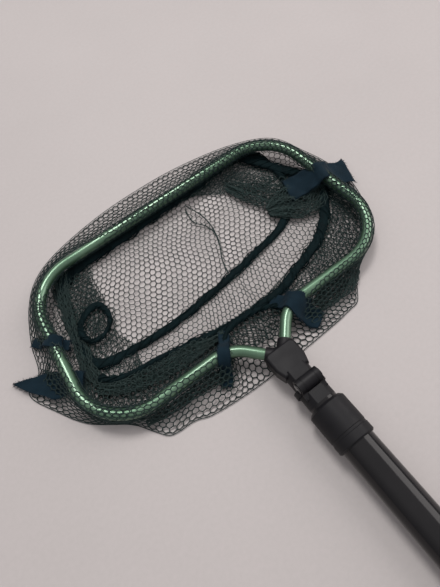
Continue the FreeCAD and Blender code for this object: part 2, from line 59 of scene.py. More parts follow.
# ---- sizes, in millimetres
TUBE_R = 4.5
HOOP_NEAR_HALF = 140.4
HOOP_FAR_HALF = 129.6
HOOP_DEPTH = 150.5
HOOP_OFFSET = 19.7
LEG_GAP_HALF = 10.0
LEG_ANGLE = math.radians(42.0)
CORNER_NEAR_R = 44.3
CORNER_FAR_R = 42.9
LEG_BEND_R = 32.0
PITCH = 5.0  # mesh cell width
STRAND_R = 0.32
STRAND_SIDES = 4
BEAD_SHARE = 1.45  # radius of the bead at a node, as a share of the strand's
GAP_Z = -7.0  # rim of the bag across the gap at the yoke
SPLINE_STEPS = 24
OPEN_SPLINE_STEPS = 20

hoop_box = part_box("hoop_tube")
base_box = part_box("net_base")
HEAD_Y = hoop_box[1].y / MM - TUBE_R - HOOP_DEPTH - HOOP_OFFSET  # line of the yoke's prongs
FLOOR = base_box[0].z / MM

rng = np.random.default_rng(7)


def place(points):
    """Bag millimetres (y from the prong line) to the frame's metres."""
    p = np.asarray(points, float)
    return (p + [0.0, HEAD_Y, 0.0]) * MM


# ---- small geometry tools
def fillet_path(corners, radii, steps=14):
    """Points along a polygon whose inner corners are rounded."""
    out = [np.array(corners[0], float)]
    for a, b, c, radius in zip(corners, corners[1:], corners[2:], radii):
        a, b, c = (np.array(q, float) for q in (a, b, c))
        into, away = (b - a) / np.linalg.norm(b - a), (c - b) / np.linalg.norm(c - b)
        half = math.acos(np.clip(into @ away, -1, 1)) / 2
        reach = radius * math.tan(half)
        centre = b + (away - into) / np.linalg.norm(away - into) * radius / math.cos(half)
        first = b - into * reach - centre
        turn = 2 * half * np.sign(into[0] * away[1] - into[1] * away[0])
        for k in range(steps + 1):
            angle = turn * k / steps
            co, si = math.cos(angle), math.sin(angle)
            out.append(centre + [first[0] * co - first[1] * si, first[0] * si + first[1] * co])
    out.append(np.array(corners[-1], float))
    return np.array(out)


def resample(points, count, closed=False):
    """Evenly spaced points along a polyline."""
    p = np.asarray(points, float)
    if closed:
        p = np.vstack([p, p[:1]])
    length = np.r_[0, np.cumsum(np.linalg.norm(np.diff(p, axis=0), axis=1))]
    u = np.linspace(0, length[-1], count + 1)[:-1] if closed else np.linspace(0, length[-1], count)
    return np.stack([np.interp(u, length, p[:, k]) for k in range(p.shape[1])], axis=1)


def spline_span(a, b, c, d, steps):
    """Catmull-Rom points from b up to, and without, c."""
    t = np.linspace(0, 1, steps, endpoint=False)[:, None]
    return 0.5 * (2 * b + (c - a) * t + (2 * a - 5 * b + 4 * c - d) * t ** 2
                  + (3 * b - a - 3 * c + d) * t ** 3)


def smooth_closed(points, per=SPLINE_STEPS):
    """Smooth curve through closed control points."""
    p = np.asarray(points, float)
    n = len(p)
    return np.vstack([spline_span(p[k - 1], p[k], p[(k + 1) % n], p[(k + 2) % n], per) for k in range(n)])


def smooth_open(points, count):
    """Smooth curve through open control points, evenly resampled."""
    p = np.asarray(points, float)
    p = np.vstack([2 * p[0] - p[1], p, 2 * p[-1] - p[-2]])
    out = [spline_span(*p[k - 1:k + 3], OPEN_SPLINE_STEPS) for k in range(1, len(p) - 2)]
    out.append(p[-2:-1])
    return resample(np.vstack(out), count)


def stretched(values, count):
    """A few values spread evenly over count places."""
    return np.interp(np.linspace(0, 1, count), np.linspace(0, 1, len(values)), values)


def waves(x, y, seed, size):
    """Smooth noise in -1..1 from a few sine waves."""
    r = np.random.default_rng(seed)
    total = 0
    for _ in range(6):
        angle, phase = r.uniform(0, 2 * math.pi, 2)
        k = 2 * math.pi / (size * r.uniform(0.6, 1.6))
        total = total + np.sin(k * (x * math.cos(angle) + y * math.sin(angle)) + phase)
    return total / 3.2


def make_object(name, verts, faces, material, body):
    """Smooth-shaded mesh that rides on a body."""
    mesh = bpy.data.meshes.new(name)
    faces = np.asarray(faces)
    corners = faces.shape[1]
    mesh.vertices.add(len(verts))
    mesh.vertices.foreach_set("co", np.asarray(verts, np.float32).ravel())
    mesh.loops.add(faces.size)
    mesh.loops.foreach_set("vertex_index", faces.ravel().astype(np.int32))
    mesh.polygons.add(len(faces))
    mesh.polygons.foreach_set("loop_start", np.arange(0, faces.size, corners, dtype=np.int32))
    mesh.polygons.foreach_set("loop_total", np.full(len(faces), corners, dtype=np.int32))
    mesh.polygons.foreach_set("use_smooth", np.ones(len(faces), bool))
    mesh.update(calc_edges=True)
    mesh.validate()
    mesh.materials.append(material)
    obj = bpy.data.objects.new(name, mesh)
    scene.collection.objects.link(obj)
    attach(obj, body)
    return obj


def strands(starts, ends, radius):
    """Straight thin strands between pairs of points: vertices and quads."""
    n = len(starts)
    d = ends - starts
    d = d / np.maximum(np.linalg.norm(d, axis=1, keepdims=True), 1e-9)
    helper = np.where(np.abs(d[:, 2:3]) < 0.9, [[0.0, 0.0, 1.0]], [[1.0, 0.0, 0.0]])
    u = np.cross(d, helper)
    u /= np.linalg.norm(u, axis=1, keepdims=True)
    v = np.cross(d, u)
    k = np.arange(STRAND_SIDES)
    angle = 2 * math.pi * k / STRAND_SIDES
    radius = np.broadcast_to(np.asarray(radius, float), (n,))
    ring = (u[:, None] * np.cos(angle)[None, :, None] + v[:, None] * np.sin(angle)[None, :, None])
    ring = ring * radius[:, None, None]
    verts = np.concatenate([starts[:, None] + ring, ends[:, None] + ring], axis=1).reshape(-1, 3)
    after = (k + 1) % STRAND_SIDES
    quad = np.stack([k, after, after + STRAND_SIDES, k + STRAND_SIDES], axis=1)
    faces = (quad[None] + (np.arange(n) * 2 * STRAND_SIDES)[:, None, None]).reshape(-1, 4)
    return verts, faces


def tube_mesh(path, radius_a, radius_b, sides=10, closed=False):
    """Tube of elliptical section (a across, b up) along a path; an open tube's ends stay open."""
    p = np.asarray(path, float)
    n = len(p)
    d = np.roll(p, -1, axis=0) - np.roll(p, 1, axis=0) if closed else np.gradient(p, axis=0)
    d /= np.linalg.norm(d, axis=1, keepdims=True)
    side = np.cross(d, [0, 0, 1.0])
    side /= np.maximum(np.linalg.norm(side, axis=1, keepdims=True), 1e-9)
    up = np.cross(side, d)
    angle = 2 * math.pi * np.arange(sides) / sides
    a = np.broadcast_to(np.asarray(radius_a, float), (n,))[:, None, None]
    b = np.broadcast_to(np.asarray(radius_b, float), (n,))[:, None, None]
    ring = side[:, None] * np.cos(angle)[None, :, None] * a + up[:, None] * np.sin(angle)[None, :, None] * b
    verts = (p[:, None] + ring).reshape(-1, 3)
    rows = n if closed else n - 1
    i = np.arange(rows)[:, None]
    k = np.arange(sides)[None]
    j = (i + 1) % n
    faces = np.stack([i * sides + k, i * sides + (k + 1) % sides, j * sides + (k + 1) % sides, j * sides + k],
                     axis=-1).reshape(-1, 4)
    return verts, faces


# ---- materials
def principled(name):
    """New material with its node tree and shader."""
    m = bpy.data.materials.new(name)
    m.use_nodes = True
    tree = m.node_tree
    tree.nodes.clear()
    out = tree.nodes.new("ShaderNodeOutputMaterial")
    bsdf = tree.nodes.new("ShaderNodeBsdfPrincipled")
    tree.links.new(bsdf.outputs[0], out.inputs[0])
    return m, tree, bsdf


def blended(tree, first, second, share):
    """Mix of two values."""
    mix = tree.nodes.new("ShaderNodeMix")
    mix.data_type = "FLOAT"
    mix.inputs["Factor"].default_value = share
    tree.links.new(first, mix.inputs["A"])
    tree.links.new(second, mix.inputs["B"])
    return mix.outputs["Result"]


def add_relief(tree, bsdf, height, strength, distance):
    """Fine surface relief from a height value."""
    relief = tree.nodes.new("ShaderNodeBump")
    relief.inputs["Strength"].default_value = strength
    relief.inputs["Distance"].default_value = distance
    tree.links.new(height, relief.inputs["Height"])
    tree.links.new(relief.outputs[0], bsdf.inputs["Normal"])


def noise(tree, coords, scale, detail=4.0, roughness=0.55):
    """Noise over the object's own coordinates, which are metres."""
    mapping = tree.nodes.new("ShaderNodeMapping")
    tex = tree.nodes.new("ShaderNodeTexNoise")
    tex.inputs["Scale"].default_value = scale
    tex.inputs["Detail"].default_value = detail
    tex.inputs["Roughness"].default_value = roughness
    tree.links.new(coords.outputs["Object"], mapping.inputs[0])
    tree.links.new(mapping.outputs[0], tex.inputs["Vector"])
    return tex


def ramp(tree, source, stops):
    """Colour ramp fed by a value."""
    node = tree.nodes.new("ShaderNodeValToRGB")
    while len(node.color_ramp.elements) < len(stops):
        node.color_ramp.elements.new(0.5)
    for element, (position, colour) in zip(node.color_ramp.elements, stops):
        element.position = position
        element.color = (*colour, 1) if len(colour) == 3 else colour
    tree.links.new(source, node.inputs[0])
    return node


def textured(name, dark, light, rough, metallic=0.0, grain=900.0, wear=60.0, bump=0.2, bump_distance=0.0001,
             coat=0.0, sheen=0.0, specular=0.5):
    """Noise-driven colour, roughness and relief."""
    m, tree, bsdf = principled(name)
    coords = tree.nodes.new("ShaderNodeTexCoord")
    broad = noise(tree, coords, wear, 5.0, 0.6)
    fine = noise(tree, coords, grain, 3.0, 0.5)
    grime = blended(tree, broad.outputs[0], fine.outputs[0], 0.4)
    colour = ramp(tree, grime, [(0.3, dark), (0.7, light)])
    tree.links.new(colour.outputs[0], bsdf.inputs["Base Color"])
    spread = ramp(tree, broad.outputs[0], [(0.3, (rough[0],) * 3), (0.7, (rough[1],) * 3)])
    tree.links.new(spread.outputs[0], bsdf.inputs["Roughness"])
    add_relief(tree, bsdf, fine.outputs[0], bump, bump_distance)
    bsdf.inputs["Metallic"].default_value = metallic
    bsdf.inputs["Coat Weight"].default_value = coat
    bsdf.inputs["Coat Roughness"].default_value = 0.15
    bsdf.inputs["Sheen Weight"].default_value = sheen
    bsdf.inputs["Specular IOR Level"].default_value = specular
    return m


anodised = textured("anodised_green", (0.064, 0.136, 0.080), (0.122, 0.212, 0.136), (0.32, 0.44),
                    metallic=0.7, grain=1400, wear=45, bump=0.1, coat=0.6)
moulded = textured("moulded_black", (0.004, 0.0037, 0.005), (0.009, 0.0085, 0.010), (0.42, 0.6),
                   grain=2600, bump=0.35, specular=0.22)
glossy = textured("gloss_black", (0.005, 0.0045, 0.005), (0.009, 0.008, 0.009), (0.10, 0.15),
                  grain=1500, bump=0.03, specular=0.30)
button_black = textured("button_black", (0.008, 0.008, 0.009), (0.015, 0.015, 0.016), (0.2, 0.3),
                        bump=0.1, coat=0.3)
steel = textured("zinc_steel", (0.42, 0.42, 0.43), (0.62, 0.62, 0.63), (0.25, 0.42), metallic=0.95, bump=0.1)
nylon = textured("natural_nylon", (0.62, 0.60, 0.54), (0.74, 0.72, 0.66), (0.4, 0.55), bump=0.15)
foam = textured("grip_foam", (0.010, 0.010, 0.011), (0.022, 0.022, 0.024), (0.75, 0.9),
                grain=1800, bump=0.8, bump_distance=0.0003, sheen=0.2)
rubber = textured("cap_rubber", (0.009, 0.009, 0.010), (0.018, 0.018, 0.019), (0.55, 0.7),
                  grain=1500, bump=0.3)
netting = textured("netting", (0.006, 0.017, 0.016), (0.014, 0.033, 0.031), (0.55, 0.75),
                   grain=2500, wear=90, bump=0.6, bump_distance=0.0002, sheen=0.05, specular=0.25)
# bunched seams: the netting's dark blue green, darkened further as painted shade of the strands bunched
# inside a seam
bunched_net_with_painted_shade = textured("bunched_seam_painted_shade", (0.001, 0.004, 0.005), (0.005, 0.014, 0.016), (0.6, 0.8),
                     grain=1200, wear=150, bump=0.9, bump_distance=0.0006, specular=0.06)

SLOT_MATERIALS = {
    "hoop_green": anodised, "black_plastic": moulded, "button_plastic": button_black, "black_tube": glossy,
    "steel": steel, "pale_nylon": nylon, "grip_foam": foam, "cap_rubber": rubber, "netting": netting,
    "seam_cord": bunched_net_with_painted_shade,
}


def woven_tape():
    """Plain woven tape: two crossing wave sets, dark blue green."""
    m, tree, bsdf = principled("woven_tape")
    coords = tree.nodes.new("ShaderNodeTexCoord")
    bands = []
    for direction in ("X", "Y"):
        wave = tree.nodes.new("ShaderNodeTexWave")
        wave.bands_direction = direction
        wave.inputs["Scale"].default_value = 420.0
        wave.inputs["Distortion"].default_value = 1.2
        tree.links.new(coords.outputs["Object"], wave.inputs["Vector"])
        bands.append(wave)
    height = tree.nodes.new("ShaderNodeMath")
    height.operation = "MULTIPLY"
    tree.links.new(bands[0].outputs["Fac"], height.inputs[0])
    tree.links.new(bands[1].outputs["Fac"], height.inputs[1])
    broad = noise(tree, coords, 120.0, 4.0)
    shade = blended(tree, height.outputs[0], broad.outputs[0], 0.5)
    colour = ramp(tree, shade, [(0.1, (0.001, 0.007, 0.012)), (0.75, (0.006, 0.022, 0.036))])
    tree.links.new(colour.outputs[0], bsdf.inputs["Base Color"])
    add_relief(tree, bsdf, height.outputs[0], 0.6, 0.0003)
    bsdf.inputs["Roughness"].default_value = 0.75
    bsdf.inputs["Sheen Weight"].default_value = 0.03
    bsdf.inputs["Specular IOR Level"].default_value = 0.12
    return m


tape_cloth = woven_tape()
SLOT_MATERIALS["binding_tape"] = tape_cloth

for part in frame["record"]["subparts"]:
    node = frame["nodes"][part["node"]]
    for k in range(len(node.material_slots)):
        node.material_slots[k].material = SLOT_MATERIALS[part["material_slot"]]


# ---- the hoop's centre line
def hoop_line():
    """Centre line of the netted part of the hoop, from right of the yoke round to left of it."""
    leg = np.array([math.sin(LEG_ANGLE), math.cos(LEG_ANGLE)])
    prong = np.array([LEG_GAP_HALF, 0.0])
    bend = prong + leg * (HOOP_OFFSET / leg[1])
    half = [prong, bend, np.array([HOOP_NEAR_HALF, HOOP_OFFSET]),
            np.array([HOOP_FAR_HALF, HOOP_OFFSET + HOOP_DEPTH])]
    corners = half + [q * [-1, 1] for q in reversed(half)]
    radii = [LEG_BEND_R, CORNER_NEAR_R, CORNER_FAR_R]
    return fillet_path(corners, radii + radii[::-1])


BARE_LEG = 28.0  # length of each leg without netting
GAP_POINTS = 60
NT = 528  # places round the rim
line = resample(hoop_line(), 1200)
step = np.linalg.norm(line[1] - line[0])
skip = int(round(BARE_LEG / step))
netted = line[skip:-skip]
netted_length = step * (len(netted) - 1)

GAP_CORD = [(-31, 18), (-27, 28), (-18, 35), (-3, 36), (10, 34.5), (20, 30.5), (27, 24), (31, 18)]
gap = smooth_open(GAP_CORD, GAP_POINTS)
gap_length = np.linalg.norm(np.diff(gap, axis=0), axis=1).sum()
rim = np.vstack([netted, gap[1:-1]])
COLUMNS = 2 * int(round((netted_length + gap_length) / PITCH))  # half cells round the rim
rim = resample(rim, NT, closed=True)
on_gap = np.arange(NT) > NT * netted_length / (netted_length + gap_length)


def anchored(curve, anchors, rim_anchor_t):
    """Curve points matched to the rim: each anchor falls on its rim parameter, evenly spaced in between."""
    dense = resample(curve, 2400, closed=True)
    at = [int(np.argmin(np.linalg.norm(dense - a, axis=1))) for a in anchors]
    t = np.arange(NT) / NT
    out_index = np.zeros(NT)
    for k in range(len(anchors)):
        t0, t1 = rim_anchor_t[k], rim_anchor_t[(k + 1) % len(anchors)]
        i0, i1 = at[k], at[(k + 1) % len(anchors)]
        span = (i1 - i0) % len(dense)
        width = (t1 - t0) % 1.0
        inside = ((t - t0) % 1.0) < width
        out_index[inside] = i0 + span * ((t[inside] - t0) % 1.0) / width
    wrapped = np.vstack([dense, dense[:1]])
    out_index = out_index % len(dense)
    return np.stack([np.interp(out_index, np.arange(len(wrapped)), wrapped[:, k]) for k in range(2)], axis=1)


def rim_t(point):
    """Rim parameter (0..1) of the place nearest to a point."""
    return int(np.argmin(np.linalg.norm(rim - np.array(point), axis=1))) / NT


# order: right of yoke, near right, far right, far left, near left, left of yoke
RIM_ANCHORS = [
    (31, 18), (127, 33), (118, 158), (-118, 158), (-127, 33), (-31, 18),
]
rim_anchor_t = [rim_t(p) for p in RIM_ANCHORS]

SILHOUETTE = [
    (45, -11), (68, -9), (78, -7), (90, 6), (104, 16.5), (121, 24.5), (134, 33), (146, 52), (157, 85),
    (156, 113), (149, 141), (137, 173), (102, 193), (48, 205), (0, 208), (-45, 206), (-92, 197),
    (-120, 184), (-138, 162), (-151, 130), (-157, 103), (-171, 91), (-158, 64), (-143, 42), (-118, 22),
    (-108, 9), (-100, -1.5), (-92, -4), (-78, -5), (-62, -10), (-20, -13),
]
silhouette = anchored(smooth_closed(SILHOUETTE),
                      [(45, -11), (122, 24), (133, 175), (-128, 175), (-135, 33), (-40, -12)], rim_anchor_t)
SEAM = [
    (45, 79), (80, 88), (103, 104), (113, 132), (110, 160), (96, 176), (60, 175), (-30, 170), (-80, 169),
    (-103, 163), (-111, 142), (-116, 120), (-118, 96), (-117, 82), (-108, 75), (-94, 72), (-76, 70),
    (-52, 68.5), (0, 73),
]
seam = anchored(smooth_closed(SEAM),
                [(28, 77), (103, 104), (104, 168), (-98, 165), (-108, 88), (-28, 74)], rim_anchor_t)
INNER_FOLD = [
    (40, 46), (89, 57), (119, 76), (131, 104), (118, 128), (86, 132), (62, 148), (30, 166), (-30, 167),
    (-70, 164), (-80, 149), (-83, 126), (-92, 104), (-84, 76), (-84, 54), (-50, 49), (-20, 45), (10, 43),
]
inner_fold = anchored(smooth_closed(INNER_FOLD),
                      [(30, 45), (119, 76), (75, 140), (-72, 162), (-86, 65), (-28, 46)], rim_anchor_t)
OUTER_FOLD = [
    (30, 14), (125, 30), (138, 60), (134, 100), (117, 140), (110, 166), (60, 177), (-60, 177), (-108, 168),
    (-116, 145), (-119, 110), (-134, 60), (-122, 30), (-30, 14),
]
outer_fold = anchored(smooth_closed(OUTER_FOLD),
                      [(30, 14), (125, 30), (108, 168), (-105, 168), (-122, 30), (-30, 14)], rim_anchor_t)

# how far the netting is taken over the tube: 1 wraps it, 0 leaves from below
COVER = [
    (0.00, 0.3), (0.04, 0.55), (0.08, 0.6), (0.17, 0.8), (0.30, 0.95), (0.44, 1.0), (0.50, 0.75),
    (0.55, 0.4), (0.59, 0.45), (0.63, 0.85), (0.68, 0.9), (0.70, 0.55), (0.73, 0.65), (0.78, 0.85),
    (0.82, 0.7), (0.86, 0.58), (0.92, 0.55), (0.93, 0.1), (1.0, 0.3),
]


WRAP_ROWS = 7  # grid rows round the tube
SKIRT_ROWS = 12  # from the tube to the outer fold, and again back underneath it
TUCK_ROWS = 9  # from there to the inner fold, and again to the second fold
SEAM_ROWS = 13  # from the second fold to the bottom seam
BAND_ROWS = [0, 18, 39, 48, 61]  # grid rows at hem, outer fold, inner fold, second fold and bottom seam
WRAP_GAP = 0.45  # netting over the tube's surface
WRAP_START, WRAP_TURN = -80, 285  # degrees round the tube: where the hem starts and how far it can go
LEAVE_ANGLE = 38  # degrees at which netting that covers the tube leaves it
COVERS = 0.3  # cover above which it does so
FLOOR_GAP = 0.6  # lowest netting over the table
SKIRT_CURVE = 1.7  # how steeply the skirt drops beside the tube
TUCK_CURVE = 2.5  # how quickly the tucked netting comes to rest


def steps(rows):
    """Shares of the way at each of some rows, the last being 1."""
    return np.linspace(0, 1, rows + 1)[1:]


def profiles():
    """Netting surface as a grid: NT places round the rim by NV places from the hoop to the bottom seam."""
    t = np.arange(NT) / NT
    cover = np.interp(t, *zip(*COVER))
    cover[on_gap] = 0.0
    tangent = np.roll(rim, -1, axis=0) - np.roll(rim, 1, axis=0)
    tangent /= np.linalg.norm(tangent, axis=1, keepdims=True)
    normal = np.stack([tangent[:, 1], -tangent[:, 0]], axis=1)
    wrap_r = TUBE_R + WRAP_GAP
    start = np.radians(WRAP_START + WRAP_TURN * cover)
    leave = np.radians(np.where(cover > COVERS, LEAVE_ANGLE, WRAP_START + WRAP_TURN * cover))
    rows = []
    for k in range(WRAP_ROWS):
        angle = start + (np.minimum(leave, start) - start) * k / (WRAP_ROWS - 1)
        xy = rim + normal * (wrap_r * np.cos(angle))[:, None]
        z = wrap_r * np.sin(angle)
        z = np.where(on_gap, GAP_Z, z)
        xy = np.where(on_gap[:, None], rim, xy)
        rows.append(np.c_[xy, z])
    last = rows[-1]
    floor = FLOOR + FLOOR_GAP
    sil = np.c_[silhouette, np.full(NT, floor + 0.5)]
    for s in steps(SKIRT_ROWS):
        drop = last[:, 2] + (sil[:, 2] - last[:, 2]) * (1 - (1 - s) ** SKIRT_CURVE)
        xy = last[:, :2] * (1 - s) + sil[:, :2] * s
        rows.append(np.c_[xy, drop])
    skirt = rows[WRAP_ROWS - 1:]
    for row in skirt[-2::-1]:
        rows.append(np.c_[row[:, :2], np.maximum(np.minimum(row[:, 2], -TUBE_R - 1.0) - 0.9, floor)])
    below = rows[-1]
    for s in steps(TUCK_ROWS):
        xy = below[:, :2] * (1 - s) + inner_fold * s
        rest = floor + 1.8 + 0.8 * (1 + waves(xy[:, 0], xy[:, 1], 3, 38)) * math.sin(math.pi * s)
        fall = (1 - s) ** TUCK_CURVE
        rows.append(np.c_[xy, below[:, 2] * fall + rest * (1 - fall)])
    for s in steps(TUCK_ROWS):
        xy = inner_fold * (1 - s) + outer_fold * s
        z = floor + 1.8 + 1.4 * s + 1.8 * (1 + waves(xy[:, 0], xy[:, 1], 4, 30)) * math.sin(math.pi * s)
        rows.append(np.c_[xy, z])
    for s in steps(SEAM_ROWS):
        xy = outer_fold * (1 - s) + seam * s
        z = floor + 3.2 - 1.4 * s + 2.2 * (1 + waves(xy[:, 0], xy[:, 1], 5, 34)) * math.sin(math.pi * s)
        rows.append(np.c_[xy, z])
    return np.stack(rows, axis=1)  # NT x NV x 3


grid = profiles()
EDGE = PITCH / math.sqrt(3)  # side of a cell
ROW = 1.5 * EDGE
FOLD_ROW = 9  # the outer fold crosses the strands below this row
# netting depth at each of BAND_ROWS
BAND_ENDS = np.array([0.0, FOLD_ROW + 2 / 3, 29.0, 37.0, 52.0]) * ROW


def way_between(along, v0, v1):
    """Share of the way from grid row v0 to v1 at each row from one to the other."""
    return (along[:, v0:v1 + 1] - along[:, v0:v0 + 1]) / (along[:, v1:v1 + 1] - along[:, v0:v0 + 1])


def fabric_depth():
    """Netting depth at each place of the surface grid, spread evenly within each band of the bag."""
    reach = np.linalg.norm(np.diff(grid, axis=1), axis=2)
    along = np.concatenate([np.zeros((NT, 1)), np.cumsum(reach, axis=1)], axis=1)
    depth = np.zeros_like(along)
    for k in range(4):
        v0, v1 = BAND_ROWS[k], BAND_ROWS[k + 1]
        depth[:, v0:v1 + 1] = BAND_ENDS[k] + way_between(along, v0, v1) * (BAND_ENDS[k + 1] - BAND_ENDS[k])
    fold, end = BAND_ROWS[1], BAND_ROWS[2]
    clinging = slice(fold, fold + SKIRT_ROWS + 1)
    depth[:, clinging] = 2 * BAND_ENDS[1] - depth[:, fold:fold - SKIRT_ROWS - 1:-1]
    first = fold + SKIRT_ROWS
    from_skirt = depth[:, first:first + 1]
    depth[:, first:end + 1] = from_skirt + way_between(along, first, end) * (BAND_ENDS[2] - from_skirt)
    return depth


def wall_points(t, depth):
    """Points of the wall at rim parameter t (0..1) and netting depth in millimetres."""
    x = (np.asarray(t) % 1.0) * NT
    i0 = np.floor(x).astype(int) % NT
    f = (x - np.floor(x))[:, None]
    ends = []
    for index in (i0, (i0 + 1) % NT):
        out = np.zeros((len(x), 3))
        for i in np.unique(index):
            here = index == i
            for axis in range(3):
                out[here, axis] = np.interp(depth[here], depths[i], grid[i, :, axis])
        ends.append(out)
    return ends[0] * (1 - f) + ends[1] * f


# ---- settling the bag as cloth
CLOTH_SCALE = 0.01  # the solver works best on a cloth some metres across
SETTLE_FRAMES = 24
MAX_SETTLE = 9.0  # no point is moved further
LEAST_SETTLE = 0.5  # a solver that fails leaves every point where it was
FOLD_PIN = 0.35  # hold on the folds; the first and last rows are held fully
SLAB_SIZE, SLAB_SKIN = 20.0, 0.003
CLOTH_GAP = 0.004  # distance kept from the slab
# the rows before this one cling to the skirt; at the yoke's gap some coincide, which makes the solver fail
SLACK_ROW = BAND_ROWS[1] + SKIRT_ROWS
LAYER_HEIGHTS = [0.5, 1.6, 2.6, 2.0]  # least height over the table at the folds and the seam
CLOTH_SETTINGS = {
    "quality": 5, "mass": 0.15, "tension_stiffness": 8, "compression_stiffness": 8, "shear_stiffness": 2,
    "bending_stiffness": 0.05, "air_damping": 2.0, "vertex_group_mass": "pins", "pin_stiffness": 1.0,
    "shrink_min": -0.07,
}


def settle(surface):
    """Lets the slack netting below the skirt drop and wrinkle on the table; returns how far it moved."""
    start = surface[::2] * CLOTH_SCALE
    n, m = start.shape[:2]
    index = np.arange(n * m).reshape(n, m)
    after = np.roll(index, -1, axis=0)
    faces = np.stack([index[:, :-1], after[:, :-1], after[:, 1:], index[:, 1:]], axis=-1).reshape(-1, 4)
    mesh = bpy.data.meshes.new("settling")
    mesh.from_pydata(start.reshape(-1, 3).tolist(), [], faces.tolist())
    cloth_obj = bpy.data.objects.new("settling", mesh)
    scene.collection.objects.link(cloth_obj)
    pins = cloth_obj.vertex_groups.new(name="pins")
    pins.add(index[:, [0, m - 1]].ravel().tolist(), 1.0, "REPLACE")
    folds = [BAND_ROWS[2] - SLACK_ROW, BAND_ROWS[3] - SLACK_ROW]
    pins.add(index[:, folds].ravel().tolist(), FOLD_PIN, "REPLACE")
    bpy.ops.mesh.primitive_plane_add(size=SLAB_SIZE, location=(0, 0, FLOOR * CLOTH_SCALE))
    slab = bpy.context.object
    slab.modifiers.new("stop", "COLLISION")
    slab.collision.thickness_outer = SLAB_SKIN
    cloth = cloth_obj.modifiers.new("cloth", "CLOTH")
    for name, value in CLOTH_SETTINGS.items():
        setattr(cloth.settings, name, value)
    cloth.collision_settings.distance_min = CLOTH_GAP
    cloth.collision_settings.use_self_collision = False
    cloth.point_cache.frame_start, cloth.point_cache.frame_end = 1, SETTLE_FRAMES
    for frame_number in range(1, SETTLE_FRAMES + 1):
        scene.frame_set(frame_number)
    depsgraph = bpy.context.evaluated_depsgraph_get()
    settled = cloth_obj.evaluated_get(depsgraph).to_mesh()
    flat = np.zeros(n * m * 3, np.float32)
    settled.vertices.foreach_get("co", flat)
    moved = flat.reshape(n, m, 3).astype(float) / CLOTH_SCALE
    shift = moved - surface[::2]
    length = np.linalg.norm(shift, axis=2, keepdims=True)
    if length.max() < LEAST_SETTLE:
        raise RuntimeError("the cloth simulation moved nothing")
    shift *= np.minimum(1.0, MAX_SETTLE / np.maximum(length, 1e-6))
    full = np.zeros_like(surface)
    full[0::2] = shift
    full[1::2] = (shift + np.roll(shift, -1, axis=0)) / 2
    bpy.data.objects.remove(cloth_obj)
    bpy.data.objects.remove(slab)
    scene.frame_set(1)
    return full


shift = settle(grid[:, SLACK_ROW:])
print("settled", np.abs(shift).max(axis=(0, 1)), np.abs(shift).mean(axis=(0, 1)))
grid[:, SLACK_ROW:] += shift
least = np.interp(np.arange(grid.shape[1]), BAND_ROWS[1:], LAYER_HEIGHTS)
grid[:, BAND_ROWS[1]:, 2] = np.maximum(grid[:, BAND_ROWS[1]:, 2], FLOOR + least[BAND_ROWS[1]:])
depths = fabric_depth()


# ---- hexagonal netting
SKIRT_WANDER = 0.35  # how unevenly the stretched skirt's cells lie, as a share of the slack netting's


def lattice(points, low, keep):
    """Strand ends and nodes of a grid of cells: strands along each row and legs from its high points."""
    zig = keep[:, :-1] & keep[:, 1:]
    leg = ~low[:-1] & keep[:-1] & keep[1:]
    starts = np.vstack([points[:, :-1][zig], points[:-1][leg]])
    ends = np.vstack([points[:, 1:][zig], points[1:][leg]])
    return starts, ends, points[keep]


def hex_wall():
    """Strand ends of the wall's netting, row by row round the rim."""
    rows = int(BAND_ENDS[-1] / ROW) + 1
    j, k = np.meshgrid(np.arange(rows), np.arange(COLUMNS), indexing="ij")
    low = (j + k) % 2 == 0
    depth = j * ROW + np.where(low, 0, EDGE / 2)
    loose = np.where(j < 2 * FOLD_ROW, SKIRT_WANDER, 1.0)
    depth = depth + loose * (0.2 * rng.standard_normal(depth.shape) + 0.35 * waves(k * 2.5, depth, 40, 24))
    drift = loose * 0.25 * waves(k * 2.5, depth, 41, 30)
    points = wall_points(((k + drift) / COLUMNS).ravel(), depth.ravel()).reshape(rows, COLUMNS, 3)
    points += loose[..., None] * 0.14 * rng.standard_normal(points.shape)
    points[..., 2] = np.maximum(points[..., 2], FLOOR + STRAND_R)
    zig_a, zig_b = points, np.roll(points, -1, axis=1)
    keep = ~low[:-1]
    leg_a, leg_b = points[:-1][keep], points[1:][keep]
    edge = wall_points(np.arange(COLUMNS * 2) / (COLUMNS * 2), np.full(COLUMNS * 2, BAND_ENDS[1]))
    starts = np.vstack([zig_a.reshape(-1, 3), leg_a, edge])
    ends = np.vstack([zig_b.reshape(-1, 3), leg_b, np.roll(edge, -1, axis=0)])
    return starts, ends, np.vstack([points.reshape(-1, 3), edge])


def inside(points, polygon):
    """Which points lie in the closed polygon."""
    x, y = points[:, 0], points[:, 1]
    result = np.zeros(len(points), bool)
    px, py = polygon[:, 0], polygon[:, 1]
    qx, qy = np.roll(px, -1), np.roll(py, -1)
    for ax, ay, bx, by in zip(px, py, qx, qy):
        crosses = (ay > y) != (by > y)
        with np.errstate(divide="ignore", invalid="ignore"):
            hit = x < (bx - ax) * (y - ay) / (by - ay) + ax
        result ^= crosses & hit
    return result


CREASES = [[(25, 160), (30, 142), (30, 124), (25, 107), (17, 91), (13, 77)],
           [(23, 158), (21, 141), (27, 130), (28, 115), (22, 100)]]


def base_height(x, y):
    """Height of the bottom panel above the table: flat, with a thin crease and faint waves."""
    crease = smooth_open(CREASES[0], 60)
    gap = np.min(np.linalg.norm(np.stack([x, y], -1)[..., None, :] - crease, axis=-1), axis=-1)
    return FLOOR + 0.7 + 2.2 * np.exp(-(gap / 2.2) ** 2) + 0.5 * (1 + waves(x, y, 8, 45))


